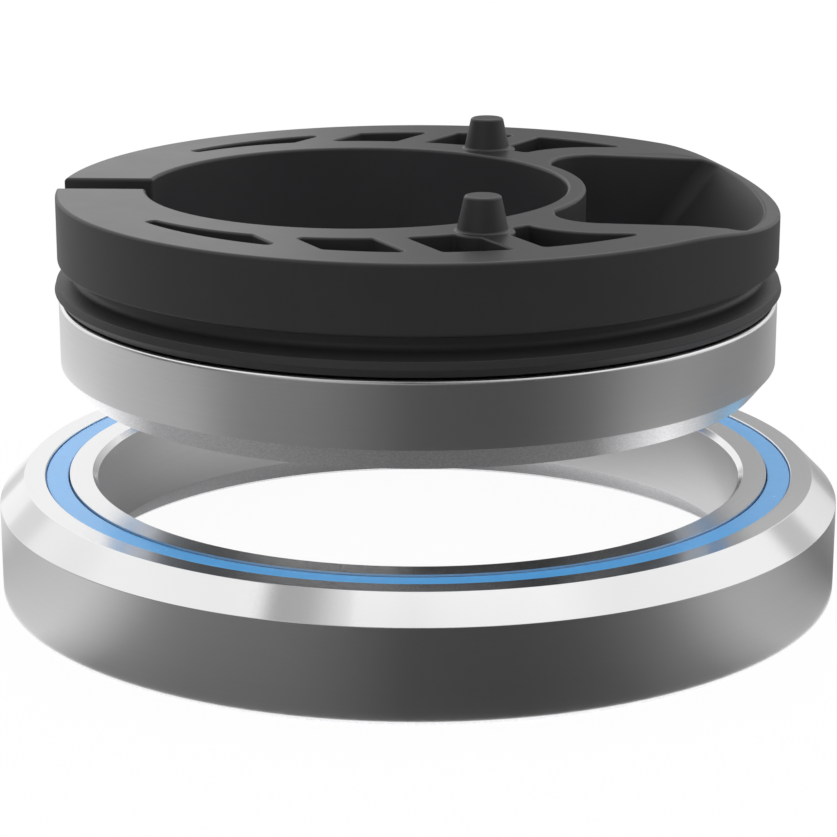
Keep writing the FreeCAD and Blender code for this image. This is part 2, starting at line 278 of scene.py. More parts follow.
def inner_race(bearing):
    cone_side = shoulders(bearing, CONE_SEAL_OFFSET)[0]
    seat_side = shoulders(bearing, SEAT_SEAL_OFFSET)[0]
    groove = bearing["ball"] + RACE_CLEARANCE
    top = bearing["height"]
    middle = top / 2
    bore = bearing["bore"]
    return placed(bearing, [
        (bore + bearing["cone"], 0, BROKEN_EDGE), (cone_side, 0, BROKEN_EDGE),
        (cone_side, middle - groove_reach(bearing, cone_side)),
        ("via", pitch_radius(bearing) - groove, middle),
        (seat_side, middle + groove_reach(bearing, seat_side)), (seat_side, top),
        (bore + BORE_EDGE, top, BROKEN_EDGE), (bore, top - BORE_EDGE, BROKEN_EDGE),
        (bore, bearing["cone"], BROKEN_EDGE)])


# Finish of the races: the tool leaves fine rings round the axis, which stretch each gleam
# into a streak. The walls are ground matt, the lands are finer, and the chamfers shine.
STEEL_COLOUR = (0.86, 0.86, 0.86, 1.0)
STEEL_SHADE = (0.81, 0.81, 0.815, 1.0)
WALL_ROUGHNESS = 0.32
CHAMFER_ROUGHNESS = 0.12
LAND_ROUGHNESS = 0.2
UNDERSIDE_ROUGHNESS = 0.42
SPECK_DARK = (0.75, 0.75, 0.77, 1.0)
SPECK_PALE = (0.92, 0.92, 0.93, 1.0)
SPECK_CONTRAST = 3.5
STEEL_SPREAD = 0.12
LINE_DEPTH = 0.000004
LEAN_OF_LANDS = (0.9, 0.97)
LEAN_OF_CHAMFERS = (0.25, 0.5)
LEAN_OF_UNDERSIDES = -0.3


def feed(tree, socket, value):
    """Wires a value into a socket, or sets the socket to a number or colour."""
    if isinstance(value, bpy.types.NodeSocket):
        tree.links.new(value, socket)
    else:
        socket.default_value = value


def set_node(tree, node, **values):
    """Feeds a shader node's inputs by name, with _ for a space, and sets its properties."""
    for key, value in values.items():
        socket = node.inputs.get(key.replace("_", " "))
        if socket is None:
            setattr(node, key, value)
        else:
            feed(tree, socket, value)
    return node


def add_node(tree, kind, **values):
    return set_node(tree, tree.nodes.new(kind), **values)


def figure(tree, operation, *terms):
    """Result of a Math node on numbers and sockets."""
    node = add_node(tree, "ShaderNodeMath", operation=operation)
    for socket, term in zip(node.inputs, terms):
        feed(tree, socket, term)
    return node.outputs[0]


def between(tree, share, low, high):
    """low where share is 0 and high where it is 1."""
    return figure(tree, "MULTIPLY_ADD", share, figure(tree, "SUBTRACT", high, low), low)


def tinted(tree, share, low, high):
    """Colour between two colours."""
    node = add_node(tree, "ShaderNodeMix", data_type="RGBA")
    for slot, value in ((0, share), (6, low), (7, high)):
        feed(tree, node.inputs[slot], value)
    return node.outputs[2]


def new_group(name, inputs, outputs):
    """Shader node group with number inputs {name: default} and the named number outputs."""
    group = bpy.data.node_groups.new(name, "ShaderNodeTree")
    for label, default in inputs.items():
        socket = group.interface.new_socket(label, in_out="INPUT", socket_type="NodeSocketFloat")
        socket.default_value = default
    for label in outputs:
        group.interface.new_socket(label, in_out="OUTPUT", socket_type="NodeSocketFloat")
    return group, group.nodes.new("NodeGroupInput").outputs, group.nodes.new("NodeGroupOutput")


def use_group(tree, group, **values):
    return add_node(tree, "ShaderNodeGroup", node_tree=group, **values).outputs


def make_lathe_lines():
    """Fine rings that a lathe or grinding wheel leaves round the Z axis."""
    group, entry, leave = new_group("lathe_lines", {"Lines per metre": 9000.0}, ["Lines"])
    place = add_node(group, "ShaderNodeTexCoord").outputs["Object"]
    x, y, z = add_node(group, "ShaderNodeSeparateXYZ", Vector=place).outputs
    squares = figure(group, "MULTIPLY_ADD", x, x, figure(group, "MULTIPLY", y, y))
    radius = figure(group, "SQRT", squares)
    across = figure(group, "MULTIPLY", figure(group, "ADD", z, radius), entry["Lines per metre"])
    join = add_node(group, "ShaderNodeCombineXYZ", X=figure(group, "DIVIDE", x, radius),
                    Y=figure(group, "DIVIDE", y, radius), Z=across)
    noise = add_node(group, "ShaderNodeTexNoise", Vector=join.outputs[0], Scale=1.0,
                     Detail=3.0, Roughness=0.6)
    set_node(group, leave, Lines=noise.outputs[0])
    return group


def make_fine_grain():
    """Even fine grain, as of a blasted mould or of ground metal."""
    group, entry, leave = new_group("fine_grain", {"Grains per metre": 6000.0}, ["Grain"])
    place = add_node(group, "ShaderNodeTexCoord").outputs["Object"]
    noise = add_node(group, "ShaderNodeTexNoise", Vector=place, Scale=entry["Grains per metre"],
                     Detail=2.0, Roughness=0.7)
    set_node(group, leave, Grain=noise.outputs[0])
    return group


def make_face_kinds():
    """Tells lands, chamfers and undersides from walls by how far the face leans."""
    group, _, leave = new_group("face_kinds", {}, ["Land", "Chamfer", "Underside"])
    normal = add_node(group, "ShaderNodeNewGeometry").outputs["Normal"]
    rise = add_node(group, "ShaderNodeSeparateXYZ", Vector=normal).outputs["Z"]
    lean = figure(group, "ABSOLUTE", rise)
    land, leaning = [add_node(group, "ShaderNodeMapRange", Value=lean, From_Min=low,
                              From_Max=high).outputs[0]
                     for low, high in (LEAN_OF_LANDS, LEAN_OF_CHAMFERS)]
    set_node(group, leave, Land=land, Chamfer=figure(group, "SUBTRACT", leaning, land),
             Underside=figure(group, "LESS_THAN", rise, LEAN_OF_UNDERSIDES))
    return group


lathe_lines = make_lathe_lines()
fine_grain = make_fine_grain()
face_kinds = make_face_kinds()


def new_material(name, **values):
    """Material with the given constants on its main shader."""
    material = bpy.data.materials.new(name)
    material.use_nodes = True
    tree = material.node_tree
    return material, tree, set_node(tree, tree.nodes["Principled BSDF"], **values)


def roughen(tree, shader, height, depth):
    bump = add_node(tree, "ShaderNodeBump", Strength=1.0, Distance=depth, Height=height)
    set_node(tree, shader, Normal=bump.outputs["Normal"])


def uneven(tree, rough, grain, spread):
    """Roughness that goes up and down by half the spread with the grain."""
    return figure(tree, "ADD", rough, figure(tree, "MULTIPLY_ADD", grain, spread, -spread / 2))


def make_race_steel():
    material, tree, shader = new_material("race_steel", Metallic=1.0, Anisotropic=0.6,
                                          Anisotropic_Rotation=0.25)
    kinds = use_group(tree, face_kinds)
    lines = use_group(tree, lathe_lines)[0]
    grain = use_group(tree, fine_grain)[0]
    rough = between(tree, kinds["Chamfer"], WALL_ROUGHNESS, CHAMFER_ROUGHNESS)
    rough = between(tree, kinds["Land"], rough, LAND_ROUGHNESS)
    rough = between(tree, kinds["Underside"], rough, UNDERSIDE_ROUGHNESS)
    bright = tinted(tree, lines, STEEL_SHADE, STEEL_COLOUR)
    steep = figure(tree, "MULTIPLY_ADD", grain, SPECK_CONTRAST, 0.5 - SPECK_CONTRAST / 2)
    specks = tinted(tree, steep, SPECK_DARK, SPECK_PALE)
    tangent = add_node(tree, "ShaderNodeTangent", direction_type="RADIAL", axis="Z")
    set_node(tree, shader, Base_Color=tinted(tree, kinds["Underside"], bright, specks),
             Roughness=uneven(tree, rough, grain, STEEL_SPREAD), Tangent=tangent.outputs[0])
    roughen(tree, shader, lines, LINE_DEPTH)
    return material


race_steel = make_race_steel()
for bearing, turning in ((UPPER_BEARING, "steerer_side"), (LOWER_BEARING, "crown_side")):
    outer_name = bearing["name"] + "_outer_race"
    inner_name = bearing["name"] + "_inner_race"
    turned_skin(outer_race(bearing)).piece(outer_name + "_ground", "head_tube_side", outer_name,
                                           "race_steel", race_steel)
    turned_skin(inner_race(bearing)).piece(inner_name + "_ground", turning, inner_name,
                                           "race_steel", race_steel)

# Bearing seals: thin discs of smooth blue rubber over a stiffener. A bead round the edge
# snaps into a groove in the outer race, and a soft lip runs beside the inner race.
SEAL_LIP_GAP = 0.08
SEAL_WALL_GAP = 0.05
SEAL_EDGE_ROUND = 0.1
SEAL_SHADE = (0.115, 0.47, 0.97, 1.0)
SEAL_COLOUR = (0.13, 0.51, 1.0, 1.0)
SEAL_ROUGHNESS = (0.2, 0.3)
SEAL_GRAINS = 1500.0
SEAL_GRAIN_DEPTH = 0.000003


def seal_outline(bearing, offset, from_seat):
    inner, outer = shoulders(bearing, offset)
    thickness = bearing["seal_thickness"]
    wall = outer - SEAL_WALL_GAP
    bead = outer + SEAL_GROOVE_DEPTH
    bead_low = SEAL_RECESS + (thickness - SEAL_BEAD) / 2
    flat = [(inner + SEAL_LIP_GAP, SEAL_RECESS, SEAL_EDGE_ROUND),
            (wall, SEAL_RECESS, SEAL_EDGE_ROUND), (wall, bead_low), (bead, bead_low),
            (bead, bead_low + SEAL_BEAD), (wall, bead_low + SEAL_BEAD),
            (wall, SEAL_RECESS + thickness), (inner + SEAL_LIP_GAP, SEAL_RECESS + thickness)]
    if from_seat:
        flat = [(r, bearing["height"] - h) + tuple(rest) for r, h, *rest in flat]
    return placed(bearing, flat)


def grained(name, grains, colours, roughness, depth=None, **values):
    """Material whose colour and roughness run between two values with the fine grain. It
    stands up by the depth, and without one the grain is a film of grease or oil on top."""
    material, tree, shader = new_material(name, **values)
    grain = use_group(tree, fine_grain, Grains_per_metre=grains)[0]
    set_node(tree, shader, Base_Color=tinted(tree, grain, *colours),
             Roughness=between(tree, grain, *roughness))
    if depth is None:
        set_node(tree, shader, Coat_Weight=grain)
    else:
        roughen(tree, shader, grain, depth)
    return material


seal_rubber = grained("seal_rubber", SEAL_GRAINS, (SEAL_SHADE, SEAL_COLOUR), SEAL_ROUGHNESS,
                      SEAL_GRAIN_DEPTH, Specular_IOR_Level=1.0, IOR=1.6)
for bearing in (UPPER_BEARING, LOWER_BEARING):
    for side, offset in (("seat", SEAT_SEAL_OFFSET), ("cone", CONE_SEAL_OFFSET)):
        name = bearing["name"] + "_" + side + "_seal"
        turned_skin(seal_outline(bearing, offset, side == "seat")).piece(
            name + "_moulded", "head_tube_side", name, "seal_rubber", seal_rubber)

# Ball cages: crowns of natural moulded plastic that keep the balls apart, snapped over them
# from the seat side.
CAGE_SHADE = (0.62, 0.57, 0.45, 1.0)
CAGE_COLOUR = (0.74, 0.7, 0.58, 1.0)
CAGE_ROUGHNESS = (0.35, 0.5)
CAGE_GRAINS = 2500.0
CAGE_GRAIN_DEPTH = 0.00001


def dress(material, names):
    """Gives the whole of each named CAD piece one material."""
    for name in names:
        nodes[name].data.materials.clear()
        nodes[name].data.materials.append(material)


cage_plastic = grained("cage_plastic", CAGE_GRAINS, (CAGE_SHADE, CAGE_COLOUR), CAGE_ROUGHNESS,
                       CAGE_GRAIN_DEPTH)
dress(cage_plastic, ["upper_ball_cage", "lower_ball_cage"])

# Balls: hardened and polished chrome steel with a thin film of grease, held loosely by the
# cages between the races.
BALL_SHADE = (0.52, 0.5, 0.46, 1.0)
BALL_COLOUR = (0.66, 0.66, 0.68, 1.0)
BALL_ROUGHNESS = (0.05, 0.16)
GREASE_PATCHES = 900.0

ball_steel = grained("ball_steel", GREASE_PATCHES, (BALL_SHADE, BALL_COLOUR), BALL_ROUGHNESS,
                     Metallic=1.0, Coat_Roughness=0.2)
dress(ball_steel, [name for name in nodes if "_ball_" in name and "cage" not in name])

# Compression ring: one moulding of black glass-filled plastic, split at the rear. Its cone
# sits in the upper inner race. The steerer passes through the off-centre bore, and the hoses
# pass through the opening in front of it. Two pins on top hold the cover.
FLANGE_RADIUS = 24.5
FLANGE_BOTTOM = 23.0
FLANGE_TOP = 27.57
FLANGE_EDGE = 0.25
HUB_RADIUS = 21.9
HUB_BOTTOM = 20.8
CONE_TOP_RADIUS = 20.65
NOSE_RADIUS = 19.25
NOSE_BOTTOM = 19.4
SPLIT_WIDTH = 3.5
SPLIT_CORNER = 0.27
BORE_CENTRE = Vector((-4.15, 0.0))
BORE_RADIUS = 14.3
FRONT_DIP = {"start": 18.86, "angle": math.radians(13.05), "blend": 13.8}
HOSE_START = 9.2
HOSE_HALF_WIDTH = 12.1
HOSE_CORNER = 3.2
HOSE_COLLAR_RADIUS = 15.57
HOSE_RIM_RADIUS = 27.55
HOSE_RIM_X = 23.4
HOSE_RIM_Z = FLANGE_TOP - (HOSE_RIM_X - FRONT_DIP["start"]) * math.tan(FRONT_DIP["angle"])
HOSE_SLOPE = math.radians(32.2)
HOSE_THROAT_SLOPE = math.radians(45.0)
HOSE_WAIST_Z = 22.3
HOSE_WAIST_RADIUS = HOSE_RIM_RADIUS - (HOSE_RIM_Z - HOSE_WAIST_Z) * math.tan(HOSE_SLOPE)
HOSE_CREASE = 1.75
HOSE_STEP = 0.29
HOSE_ROWS = 31
HOSE_FUNNEL_PART = 5
HOSE_CREASE_PARTS = (4, 6)
POCKET_DEPTH = 3.4
POCKET_EDGE = 0.18
POCKET_CORNER = 0.3
POCKET_RIM_RADIUS = 21.15
POCKET_COLLAR_RADIUS = 17.3
POCKET_SIDE_Y = -15.3
POCKET_BEND_CENTRE = Vector((12.4, -8.9))
POCKET_BEND_RADIUS = 6.4
POCKET_RIBS = (-15.65, -9.55, -3.45)
RIB_ANGLE = math.radians(30.0)
RIB_HALF_WIDTH = 1.0
RIB_WAY = Vector((math.cos(RIB_ANGLE), math.sin(RIB_ANGLE)))
POCKET_END_ANGLE = math.radians(216.7)
POCKET_END_REACH = 20.45
DIP_SPOTS_X = (17.4, 20.2)
DIP_SPOTS_Y = (12.9, 16.4)
PIN_CENTRE = Vector((4.545, -14.643))
PIN_CLEAR_RADIUS = 2.08
PIN_CORNERS = ((3.0, FLANGE_TOP), (1.65, FLANGE_TOP, 0.22), (1.165, 29.79, 0.2), (0.0, 29.79))
PIN_STEPS = 48
ORIGIN = Vector((0.0, 0.0))


def at(x, y):
    return Vector((x, y))


def lean_to(border, spot):
    """Distance of a spot inside a border, and the way straight into the area from there."""
    if border[0] == "line":
        return (spot - border[1]).dot(border[2]), border[2]
    out = spot - border[1]
    return border[3] * (border[2] - out.length), -border[3] * out.normalized()


def meeting(one, other, inset, near):
    """The spot near a given one that lies inset from both borders."""
    spot = near.copy()
    for _ in range(30):
        reach_a, way_a = lean_to(one, spot)
        reach_b, way_b = lean_to(other, spot)
        span = way_a.cross(way_b)
        miss_a = inset - reach_a
        miss_b = inset - reach_b
        spot = spot + at(miss_a * way_b.y - miss_b * way_a.y,
                         miss_b * way_a.x - miss_a * way_b.x) / span
    return spot


def trace(borders, joints, steps):
    """Closed outline, in stretches of (point, way in), along borders with the area on their
    left: ("line", point, way in) or ("circle", centre, radius, 1 inside or -1 outside).
    joints[i] is (round, spot) before border i. round None joins smoothly at the spot."""
    centres = []
    for i, (rounding, near) in enumerate(joints):
        if rounding is None:
            centres.append((near, 0.0))
        else:
            centres.append((meeting(borders[i - 1], borders[i], rounding, near), rounding))
    result = []
    for i, border in enumerate(borders):
        centre, rounding = centres[i]
        first = centre - lean_to(border, centre)[1] * rounding
        if rounding:
            before = centre - lean_to(borders[i - 1], centre)[1] * rounding
            result.append(arc_between(centre, before, first, -1, 6))
        centre, rounding = centres[(i + 1) % len(borders)]
        last = centre - lean_to(border, centre)[1] * rounding
        if border[0] == "line":
            result.append([(first, border[2]), (last, border[2])])
            continue
        result.append(arc_between(border[1], first, last, -border[3], steps[i], border[3]))
    return result


def top_height(x):
    """Height of the top above a place, with its slope down to the front rim."""
    angle = FRONT_DIP["angle"]
    blend = FRONT_DIP["blend"]
    reach = blend * math.tan(angle / 2)
    run = x - (FRONT_DIP["start"] - reach)
    if run <= 0:
        return FLANGE_TOP, 0.0
    if run < blend * math.sin(angle):
        return FLANGE_TOP - blend + math.sqrt(blend ** 2 - run ** 2), math.asin(run / blend)
    return FLANGE_TOP - (x - FRONT_DIP["start"]) * math.tan(angle), angle


def top_normal(x):
    slope = top_height(x)[1]
    return Vector((math.sin(slope), 0.0, math.cos(slope)))


def edge_rows(outline, radius, steps=6):
    """Rows of a rounded edge between upright or sloping walls and the top. The outline is
    stretches of (edge point, wall normal) in space. Each row is stretches of (place, normal)."""
    joined = []
    for i, part in enumerate(outline):
        following = outline[(i + 1) % len(outline)]
        mitres = [normal for _, normal in part]
        for end, other in ((0, outline[i - 1][-1][1]), (-1, following[0][1])):
            mitres[end] = (part[end][1] + other) / (1 + part[end][1].dot(other))
        joined.append(mitres)
    rows = []
    for k in range(steps + 1):
        row = []
        for part, mitres in zip(outline, joined):
            line = []
            for (point, wall), mitre in zip(part, mitres):
                top = top_normal(point.x)
                whole = wall.angle(top)
                turn = whole * k / steps
                lean = (wall * math.sin(whole - turn) + top * math.sin(turn)) / math.sin(whole)
                place = point - (wall + top) * (radius / (1 + wall.dot(top))) + lean * radius
                place += (wall - mitre) * (radius * (1 - math.cos(turn)))
                line.append((place, lean))
            row.append(line)
        rows.append(row)
    return rows


def raised(outline, way=1):
    """Flat stretches lifted to the top, with their normals to the free side of the wall."""
    return [[(Vector((p.x, p.y, top_height(p.x)[0])), Vector((n.x, n.y, 0.0)) * way)
             for p, n in part] for part in outline]


def fill_face(skin, outer, holes, height, normal, extra=()):
    """Flat or gently sloping face between an outline and its holes, lists of places."""
    places = []
    loops = []
    for loop in [outer] + holes:
        loops.append(list(range(len(places), len(places) + len(loop))))
        places += [Vector(place) for place in loop]
    places += [Vector((x, y, height(x))) for x, y in extra]
    flat = [at(place.x, place.y) for place in places]
    found = delaunay_2d_cdt(flat, [], loops, 1, 1e-6)
    for triangle, sources in zip(found[2], found[5]):
        if list(sources) != [0]:
            continue
        corners = [places[found[3][spot][0]] for spot in triangle]
        leans = [normal(corner.x) for corner in corners]
        if leans[0].z < 0:
            corners.reverse()
        skin.face(list(zip(corners, leans)))


def ends_of(row):
    """The places along a closed row, each once."""
    return [place for part in row for place, _ in part[:-1]]


def lowered(part, z):
    return [(Vector((place.x, place.y, z)), normal) for place, normal in part]


def split_outline(radius, steps):
    """Outline of the ring at one outer radius, with its bore and the split behind it."""
    half = SPLIT_WIDTH / 2
    corner = math.sqrt(radius ** 2 - half ** 2)
    inner = BORE_CENTRE.x - math.sqrt(BORE_RADIUS ** 2 - half ** 2)
    borders = [("circle", ORIGIN, radius, 1), ("line", at(0, half), at(0, 1)),
               ("circle", BORE_CENTRE, BORE_RADIUS, -1), ("line", at(0, -half), at(0, -1))]
    joints = [(0.0, at(-corner, -half)), (0.0, at(-corner, half)),
              (SPLIT_CORNER, at(inner, half)), (SPLIT_CORNER, at(inner, -half))]
    return trace(borders, joints, [steps, 1, 240, 1])


def hose_outline(radius):
    """Outline of the hose opening where its funnel has the given radius."""
    half = HOSE_HALF_WIDTH
    bend = HOSE_START + HOSE_CORNER
    turn = half - HOSE_CORNER
    side_x = BORE_CENTRE.x + math.sqrt(radius ** 2 - half ** 2)
    collar_y = math.sqrt(HOSE_COLLAR_RADIUS ** 2 - (HOSE_START - BORE_CENTRE.x) ** 2)
    borders = [("circle", BORE_CENTRE, HOSE_COLLAR_RADIUS, -1),
               ("line", at(HOSE_START, 0), at(1, 0)),
               ("circle", at(bend, -turn), HOSE_CORNER, 1),
               ("line", at(0, -half), at(0, 1)),
               ("circle", BORE_CENTRE, radius, 1),
               ("line", at(0, half), at(0, -1)),
               ("circle", at(bend, turn), HOSE_CORNER, 1),
               ("line", at(HOSE_START, 0), at(1, 0))]
    joints = [(0.0, at(HOSE_START, collar_y)), (0.0, at(HOSE_START, -collar_y)),
              (None, at(HOSE_START, -turn)), (None, at(bend, -half)),
              (HOSE_CREASE, at(side_x - 1, -half + 1)),
              (HOSE_CREASE, at(side_x - 1, half - 1)),
              (None, at(bend, half)), (None, at(HOSE_START, turn))]
    return trace(borders, joints, [60, 1, 24, 1, 90, 1, 24, 1])


def hose_wall(part, spot, radius_rows, z, lean):
    """Place and normal of one spot of the opening's wall at a height, where the funnel leans."""
    span = (z - NOSE_BOTTOM) / HOSE_STEP
    low = min(max(int(span), 0), len(radius_rows) - 2)
    share = span - low
    one = radius_rows[low][part][spot]
    other = radius_rows[low + 1][part][spot]
    flat = one[0].lerp(other[0], share)
    way = one[1].lerp(other[1], min(max(share, 0), 1)).normalized()
    slope = 0.0
    if part == HOSE_FUNNEL_PART:
        slope = lean
    elif part in HOSE_CREASE_PARTS:
        along = spot / (len(radius_rows[low][part]) - 1)
        slope = lean * (along if part < HOSE_FUNNEL_PART else 1 - along)
    normal = Vector((way.x * math.cos(slope), way.y * math.cos(slope), math.sin(slope)))
    return Vector((flat.x, flat.y, z)), normal


def add_hose_opening(skin):
    """Walls and rounded edge of the opening. Gives its outlines on the top and on the nose."""
    radius_rows = []
    for k in range(HOSE_ROWS):
        rise = NOSE_BOTTOM + k * HOSE_STEP - HOSE_WAIST_Z
        slope = HOSE_SLOPE if rise > 0 else HOSE_THROAT_SLOPE
        radius_rows.append(hose_outline(HOSE_WAIST_RADIUS + rise * math.tan(slope)))
    rim = []
    for part, line in enumerate(radius_rows[0]):
        points = []
        for spot in range(len(line)):
            z = FLANGE_TOP
            for _ in range(12):
                place, normal = hose_wall(part, spot, radius_rows, z, HOSE_SLOPE)
                z = top_height(place.x)[0]
            points.append((Vector((place.x, place.y, z)), normal))
        rim.append(points)
    rounded = edge_rows(rim, FLANGE_EDGE)
    for part in zip(*rounded):
        skin.strips(part[::-1])
    for part, line in enumerate(rounded[0]):
        rows = [line]
        for share in spaced(1.0, 0.0, 8)[1:]:
            rows.append([hose_wall(part, spot, radius_rows,
                                   HOSE_WAIST_Z + (place.z - HOSE_WAIST_Z) * share, HOSE_SLOPE)
                         for spot, (place, _) in enumerate(line)])
        skin.strips(rows)
        skin.strips([[hose_wall(part, spot, radius_rows, z, HOSE_THROAT_SLOPE)
                      for spot in range(len(line))] for z in (HOSE_WAIST_Z, NOSE_BOTTOM)])
    nose = [Vector((p.x, p.y, NOSE_BOTTOM)) for p in ends_of(radius_rows[0])]
    return ends_of(rounded[-1]), nose


def crossing(along_rib, centre, radius):
    """Spot on the rear side of a circle that lies at a distance along the ribs' spacing."""
    off = along_rib - centre.dot(RIB_WAY)
    return centre + RIB_WAY * off + at(RIB_WAY.y, -RIB_WAY.x) * math.sqrt(radius ** 2 - off ** 2)


def pocket_outlines():
    """Outlines of the four pockets on one side. Each spot is near its corner, and trace
    finds the corner itself."""
    rim = ("circle", ORIGIN, POCKET_RIM_RADIUS, 1)
    collar = ("circle", BORE_CENTRE, POCKET_COLLAR_RADIUS, -1)
    pin = ("circle", PIN_CENTRE, PIN_CLEAR_RADIUS, -1)
    side = ("line", at(0, POCKET_SIDE_Y), at(0, -1))
    bend = ("circle", POCKET_BEND_CENTRE, POCKET_BEND_RADIUS, -1)
    end_way = at(math.cos(POCKET_END_ANGLE), math.sin(POCKET_END_ANGLE))
    end = ("line", ORIGIN, at(-end_way.y, end_way.x))
    low, high = [[("line", RIB_WAY * (rib + way * RIB_HALF_WIDTH), RIB_WAY * way)
                  for rib in POCKET_RIBS] for way in (1, -1)]

    def cross(rib, way, border):
        return crossing(POCKET_RIBS[rib] + way * RIB_HALF_WIDTH, border[1], border[2])

    to_pin = (PIN_CENTRE - BORE_CENTRE).normalized()
    beside = at(-to_pin.y, to_pin.x) * PIN_CLEAR_RADIUS
    bend_tip = at(POCKET_BEND_CENTRE.x, POCKET_SIDE_Y)
    side_tip = at(math.sqrt(POCKET_RIM_RADIUS ** 2 - POCKET_SIDE_Y ** 2), POCKET_SIDE_Y)
    to_bend = (POCKET_BEND_CENTRE - BORE_CENTRE).normalized()
    past_bend = to_bend + at(to_bend.y, -to_bend.x) * 0.3
    bend_end = BORE_CENTRE + past_bend * POCKET_COLLAR_RADIUS
    chains = [
        ([rim, high[0], collar, end],
         [end_way * POCKET_RIM_RADIUS, cross(0, -1, rim), cross(0, -1, collar),
          end_way * POCKET_END_REACH], [24, 1, 24, 1]),
        ([rim, high[1], collar, low[0]],
         [cross(0, 1, rim), cross(1, -1, rim), cross(1, -1, collar), cross(0, 1, collar)],
         [18, 1, 18, 1]),
        ([rim, high[2], pin, collar, low[1]],
         [cross(1, 1, rim), cross(2, -1, rim), cross(2, -1, pin), PIN_CENTRE - beside,
          cross(1, 1, collar)], [18, 1, 12, 18, 1]),
        ([rim, side, bend, collar, pin, low[2]],
         [cross(2, 1, rim), side_tip, bend_tip, bend_end, PIN_CENTRE + beside,
          cross(2, 1, pin)], [30, 1, 18, 6, 12, 1])]
    return [trace(borders, [(None if spot is bend_tip else POCKET_CORNER, spot)
                            for spot in spots], steps) for borders, spots, steps in chains]


def mirrored(outline):
    return [[(at(p.x, -p.y), at(n.x, -n.y)) for p, n in reversed(part)]
            for part in reversed(outline)]


def add_pocket(skin, outline):
    """Walls, floor and rounded edge of a pocket. Gives its outline on the top."""
    rounded = edge_rows(raised(outline), POCKET_EDGE)
    floor_z = FLANGE_TOP - POCKET_DEPTH
    floor = [lowered(part, floor_z) for part in rounded[0]]
    for part in zip(floor, *rounded):
        skin.strips(part[::-1])
    fill_face(skin, ends_of(floor), [], lambda x: floor_z, lambda x: Vector((0, 0, 1)))
    return ends_of(rounded[-1])


def add_pin(skin, centre):
    """Tapered pin with a rounded foot. Gives the outline of the foot on the top."""
    parts = stretches(PIN_CORNERS, closed=False)[1:]
    rounds = [spun(part, full_turn(PIN_STEPS), centre) for part in parts]
    for rows in rounds:
        skin.strips(rows, closed=True)
    return [place for place, _ in rounds[0][0]]


def split_row(point, normal, steps):
    """Row round the ring from one side of the split to the other."""
    end = math.pi - math.asin(SPLIT_WIDTH / 2 / point.x)
    return spun([(point, normal)], spaced(-end, end, steps))[0]


def moulded_ring_skin():
    skin = Skin()
    steps = TURNED_STEPS
    rounded = edge_rows(raised(split_outline(FLANGE_RADIUS, steps), -1), FLANGE_EDGE)
    for part in zip(*rounded):
        skin.strips(part)
    outer, upper_side, upper_corner, bore, lower_corner, lower_side = rounded[0]
    for part in (upper_corner, bore, lower_corner):
        skin.strip(lowered(part, NOSE_BOTTOM), part)
    sides = [[], []]
    corners = [(NOSE_RADIUS, NOSE_BOTTOM), (CONE_TOP_RADIUS, HUB_BOTTOM),
               (HUB_RADIUS, HUB_BOTTOM), (HUB_RADIUS, FLANGE_BOTTOM),
               (FLANGE_RADIUS, FLANGE_BOTTOM, FLANGE_EDGE), (FLANGE_RADIUS, FLANGE_TOP)]
    for part in stretches(corners, closed=False)[:-1]:
        rows = [split_row(point, normal, steps) for point, normal in part]
        skin.strips(rows)
        for row in rows:
            sides[0].append(row[0][0])
            sides[1].append(row[-1][0])
    wall = [(place, Vector((place[0], place[1], 0)).normalized()) for place, _ in rows[-1]]
    skin.strip(wall, outer)
    sides[0] += [outer[0][0], lower_side[0][0], lowered(lower_side[:1], NOSE_BOTTOM)[0][0]]
    sides[1] += [outer[-1][0], upper_side[-1][0], lowered(upper_side[-1:], NOSE_BOTTOM)[0][0]]
    skin.face([(place, Vector((0, 1, 0))) for place in sides[0]])
    skin.face([(place, Vector((0, -1, 0))) for place in reversed(sides[1])])
    hose_top, hose_nose = add_hose_opening(skin)
    nose = [Vector((p.x, p.y, NOSE_BOTTOM)) for p in ends_of(split_outline(NOSE_RADIUS, steps))]
    fill_face(skin, nose, [hose_nose], lambda x: NOSE_BOTTOM, lambda x: Vector((0, 0, -1)))
    holes = [hose_top]
    for outline in pocket_outlines():
        holes += [add_pocket(skin, outline), add_pocket(skin, mirrored(outline))]
    holes += [add_pin(skin, (PIN_CENTRE.x, side * PIN_CENTRE.y)) for side in (-1, 1)]
    dip_spots = [(x, side * y) for x in spaced(*DIP_SPOTS_X, 8) for y in spaced(*DIP_SPOTS_Y, 7)
                 for side in (1, -1) if math.hypot(x, y) < FLANGE_RADIUS - 0.7]
    fill_face(skin, ends_of(rounded[-1]), holes, lambda x: top_height(x)[0], top_normal, dip_spots)
    return skin


RING_COLOUR = (0.016, 0.0163, 0.0171, 1.0)
RING_PALE = (0.0195, 0.0198, 0.0207, 1.0)
RING_TOP_ROUGHNESS = 0.3
RING_SIDE_ROUGHNESS = 0.5
RING_EDGE_ROUGHNESS = 0.42
RING_SPREAD = 0.06
RING_GRAINS = 5000.0
RING_PATCHES = 220.0
MOULD_GRAIN_DEPTH = 0.000006


def make_ring_plastic():
    material, tree, shader = new_material("ring_plastic")
    grain = use_group(tree, fine_grain, Grains_per_metre=RING_GRAINS)[0]
    broad = use_group(tree, fine_grain, Grains_per_metre=RING_PATCHES)[0]
    kinds = use_group(tree, face_kinds)
    rough = between(tree, kinds["Chamfer"], RING_SIDE_ROUGHNESS, RING_EDGE_ROUGHNESS)
    rough = between(tree, kinds["Land"], rough, RING_TOP_ROUGHNESS)
    set_node(tree, shader, Base_Color=tinted(tree, broad, RING_COLOUR, RING_PALE),
             Roughness=uneven(tree, rough, broad, RING_SPREAD))
    roughen(tree, shader, grain, MOULD_GRAIN_DEPTH)
    return material


